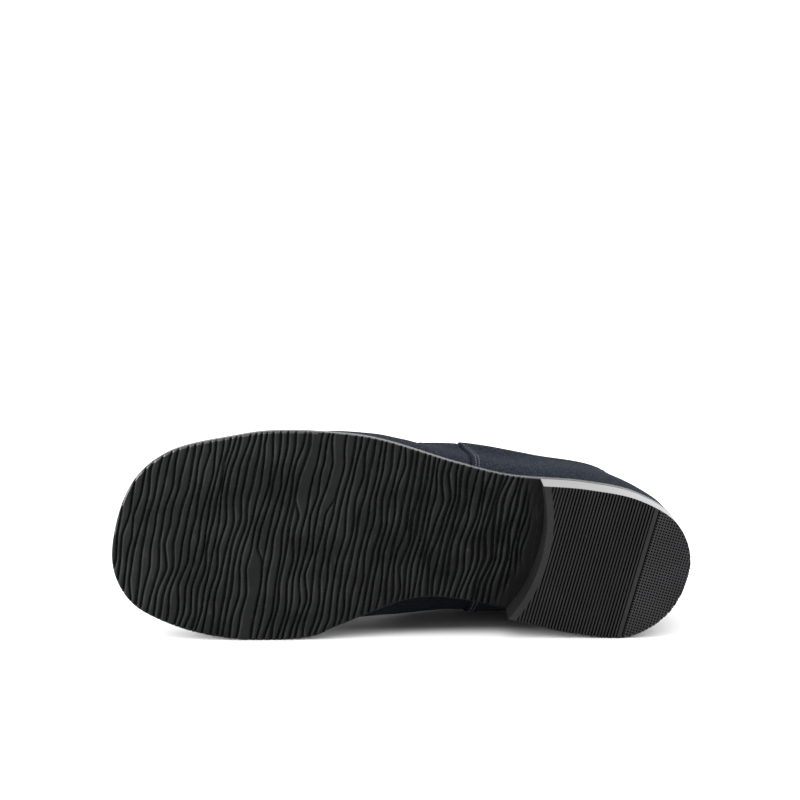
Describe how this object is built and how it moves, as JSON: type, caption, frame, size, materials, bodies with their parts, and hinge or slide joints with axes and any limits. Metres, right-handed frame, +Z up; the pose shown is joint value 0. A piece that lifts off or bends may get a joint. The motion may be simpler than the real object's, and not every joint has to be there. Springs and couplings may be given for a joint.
{
  "type": "mary jane shoe",
  "caption": "Left mary jane shoe lying on its inner side: nubuck upper with a buckled strap over the instep, ribbed rubber outsole and low block heel.",
  "frame": {"origin": "on the floor, under the middle of the shoe's box, with the shoe lying on its inner side", "axes": "+X from toe to heel along the outsole, +Y the way the shoe's top points as it lies, +Z up; the tread faces -Y"},
  "size_m": [0.25, 0.0772, 0.0918],
  "materials": {
    "sole_rubber": "black moulded rubber, matt",
    "nubuck": "dark navy nubuck with a short nap",
    "lining": "smooth lining leather",
    "buckle_steel": "satin nickel"
  },
  "bodies": {
    "root": {"outsole": "sole_rubber", "heel": "sole_rubber", "insole": "lining", "upper": "nubuck", "strap": "nubuck", "buckle_tab": "nubuck", "buckle_frame": "buckle_steel", "buckle_prong": "buckle_steel"}
  },
  "joints": []
}
